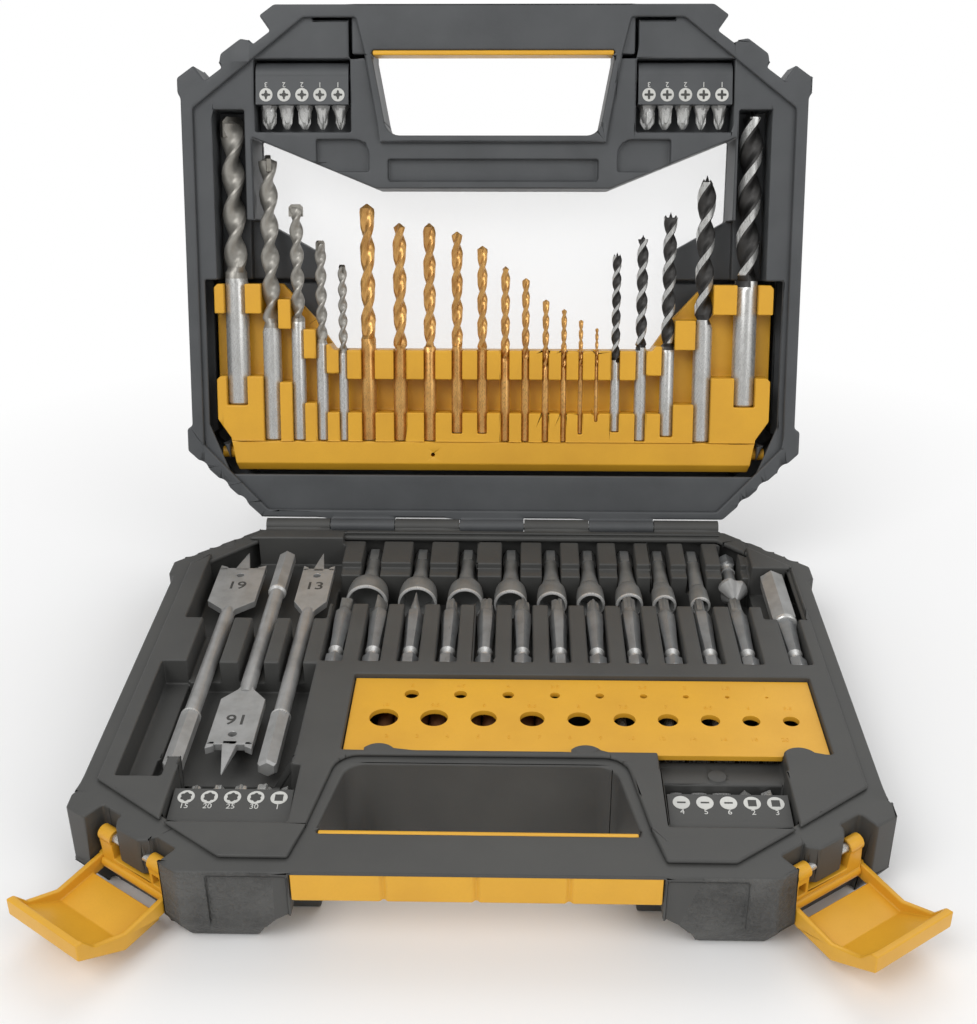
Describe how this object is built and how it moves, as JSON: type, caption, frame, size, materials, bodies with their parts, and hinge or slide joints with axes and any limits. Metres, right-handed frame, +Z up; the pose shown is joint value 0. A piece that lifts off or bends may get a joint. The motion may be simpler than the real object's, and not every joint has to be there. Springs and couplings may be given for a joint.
{
  "type": "drill bit case",
  "caption": "Two-part plastic case with a carry handle, a tilting drill rack in the lid, a hole gauge plate and tilting bit holders.",
  "frame": {"origin": "centre of the flat underside of the base, on the surface that the case stands on", "axes": "+X across the case to the right, +Y from the handle to the hinge, +Z up"},
  "size_m": [0.2832, 0.3303, 0.2377],
  "materials": {
    "dark": "fine matte",
    "lid_dark": "fine matte",
    "yellow": "satin",
    "window": "clear plastic, polished",
    "steel": "satin",
    "steel_dark": "phosphated",
    "gold": "satin",
    "black_oxide": "black oxide",
    "plug": "matte"
  },
  "bodies": {
    "base": {"base_shell": "dark", "base_tray": "dark", "hinge_rod": "steel", "grip_base": "yellow", "latch_pins": "steel", "power_bits_slotted": "steel_dark", "power_bits_cross": "steel_dark", "power_bits_star": "steel_dark", "magnetic_bit_holder": "steel", "countersink": "steel", "sockets_large": "steel_dark", "sockets_medium": "steel_dark", "sockets_small": "steel_dark", "spade_bit_19": "steel", "spade_bit_16": "steel", "spade_bit_13": "steel", "wall_plugs": "plug", "screws": "steel"},
    "lid": {"lid_shell": "lid_dark", "lid_liner": "lid_dark", "lid_window": "window", "grip_lid": "yellow"},
    "rack": {"drill_rack": "yellow", "masonry_drill_10": "steel", "masonry_drill_8": "steel", "masonry_drill_6": "steel", "masonry_drill_5": "steel", "masonry_drill_4": "steel", "metal_drill_6_5": "gold", "metal_drill_6": "gold", "metal_drill_5_5": "gold", "metal_drill_5": "gold", "metal_drill_4_5": "gold", "metal_drill_4": "gold", "metal_drill_3_5": "gold", "metal_drill_3": "gold", "metal_drill_2_5": "gold", "metal_drill_2": "gold", "metal_drill_1_5": "gold", "wood_drill_4": "black_oxide", "wood_drill_5": "black_oxide", "wood_drill_6": "black_oxide", "wood_drill_8": "black_oxide", "wood_drill_10": "black_oxide"},
    "gauge_plate": {"gauge_plate": "yellow"},
    "link_left": {"latch_link_left": "yellow"},
    "lever_left": {"latch_lever_left": "yellow"},
    "link_right": {"latch_link_right": "yellow"},
    "lever_right": {"latch_lever_right": "yellow"},
    "bit_holder_base_left": {"bit_holder_base_left": "dark", "insert_bits_base_left": "steel"},
    "bit_holder_base_right": {"bit_holder_base_right": "dark", "insert_bits_base_right": "steel"},
    "bit_holder_lid_left": {"bit_holder_lid_left": "lid_dark", "insert_bits_lid_left": "steel"},
    "bit_holder_lid_right": {"bit_holder_lid_right": "lid_dark", "insert_bits_lid_right": "steel"}
  },
  "joints": [
    {"name": "lid_hinge", "type": "hinge", "parent": "base", "child": "lid", "pos_m": [0, 0.11055, 0.03], "axis": [-1, 0, 0], "range_deg": [-107.3, 0]},
    {"name": "rack_tilt", "type": "hinge", "parent": "lid", "child": "rack", "pos_m": [0, 0.13027, 0.05633], "axis": [1, 0, 0], "range_deg": [0, 40]},
    {"name": "gauge_plate_lift", "type": "slide", "parent": "base", "child": "gauge_plate", "axis": [0, 0, 1], "range_m": [0, 0.04]},
    {"name": "link_left_swing", "type": "hinge", "parent": "base", "child": "link_left", "pos_m": [-0.10747, -0.08902, 0.0225], "axis": [-0.8161, 0.5779, 0], "range_deg": [0, 20]},
    {"name": "lever_left_swing", "type": "hinge", "parent": "link_left", "child": "lever_left", "pos_m": [-0.10781, -0.08951, 0.0115], "axis": [0.8161, -0.5779, 0], "range_deg": [-80, 0]},
    {"name": "link_right_swing", "type": "hinge", "parent": "base", "child": "link_right", "pos_m": [0.10747, -0.08902, 0.0225], "axis": [-0.8161, -0.5779, 0], "range_deg": [0, 20]},
    {"name": "lever_right_swing", "type": "hinge", "parent": "link_right", "child": "lever_right", "pos_m": [0.10781, -0.08951, 0.0115], "axis": [0.8161, 0.5779, 0], "range_deg": [-80, 0]},
    {"name": "bit_holder_base_left_tilt", "type": "hinge", "parent": "base", "child": "bit_holder_base_left", "pos_m": [-0.0794, -0.07895, 0.0215], "axis": [1, 0, 0], "range_deg": [0, 60]},
    {"name": "bit_holder_base_right_tilt", "type": "hinge", "parent": "base", "child": "bit_holder_base_right", "pos_m": [0.0794, -0.07895, 0.0215], "axis": [1, 0, 0], "range_deg": [0, 60]},
    {"name": "bit_holder_lid_left_tilt", "type": "hinge", "parent": "lid", "child": "bit_holder_lid_left", "pos_m": [-0.0794, 0.17502, 0.2084], "axis": [-1, 0, 0], "range_deg": [0, 60]},
    {"name": "bit_holder_lid_right_tilt", "type": "hinge", "parent": "lid", "child": "bit_holder_lid_right", "pos_m": [0.0794, 0.17502, 0.2084], "axis": [-1, 0, 0], "range_deg": [0, 60]}
  ]
}
